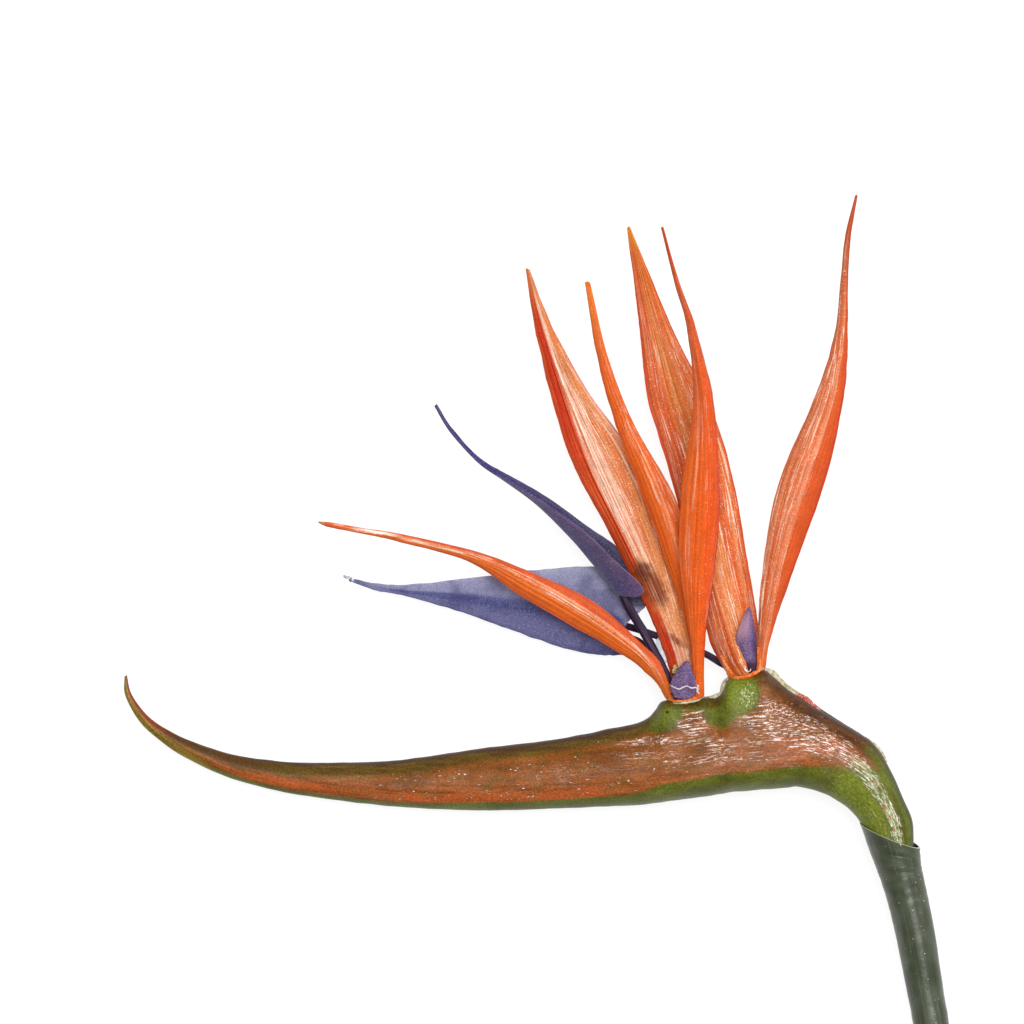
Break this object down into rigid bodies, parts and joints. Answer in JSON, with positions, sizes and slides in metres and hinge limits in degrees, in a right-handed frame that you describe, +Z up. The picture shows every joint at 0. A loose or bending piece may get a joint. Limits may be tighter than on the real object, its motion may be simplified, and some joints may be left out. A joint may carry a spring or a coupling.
{
  "type": "artificial bird of paradise flower",
  "caption": "Moulded bird of paradise flower head lying down: beak-shaped spathe, orange sepals, violet tongues and a cut tube stem over a wire.",
  "frame": {"origin": "middle of the bounding box at the height of the surface that the flower lies on", "axes": "+Z up from the table; +Y from the cut end of the stem towards the sepal tips; +X from the spathe's beak towards the neck"},
  "size_m": [0.2566, 0.3901, 0.0476],
  "materials": {
    "spathe_paint": "red-brown paint brushed over green moulded plastic, dry-brushed pale streaks, satin",
    "sepal_orange": "thin orange sheet with fine lengthwise ridges and pale gloss streaks",
    "tongue_violet": "flocked blue-violet sheet, matt",
    "stalk_dark": "very dark violet, ribbed, satin",
    "nectary_violet": "violet with a fine grain, matt",
    "stem_green": "dark grey-green flexible tube with a soft sheen",
    "wire_steel": "cut steel wire core"
  },
  "bodies": {
    "root": {"spathe": "spathe_paint", "stem": "stem_green", "stem_wire": "wire_steel", "front_floret_base": "sepal_orange", "rear_floret_base": "sepal_orange", "front_sepal_low": "sepal_orange", "front_sepal_wide": "sepal_orange", "front_sepal_narrow": "sepal_orange", "front_sepal_centre": "sepal_orange", "rear_sepal_wide": "sepal_orange", "rear_sepal_tall": "sepal_orange", "upper_tongue": "tongue_violet", "lower_tongue": "tongue_violet", "upper_tongue_stalk": "stalk_dark", "lower_tongue_stalk": "stalk_dark", "lower_tongue_side_stalk": "stalk_dark", "front_nectary": "nectary_violet", "rear_nectary": "nectary_violet"}
  },
  "joints": []
}
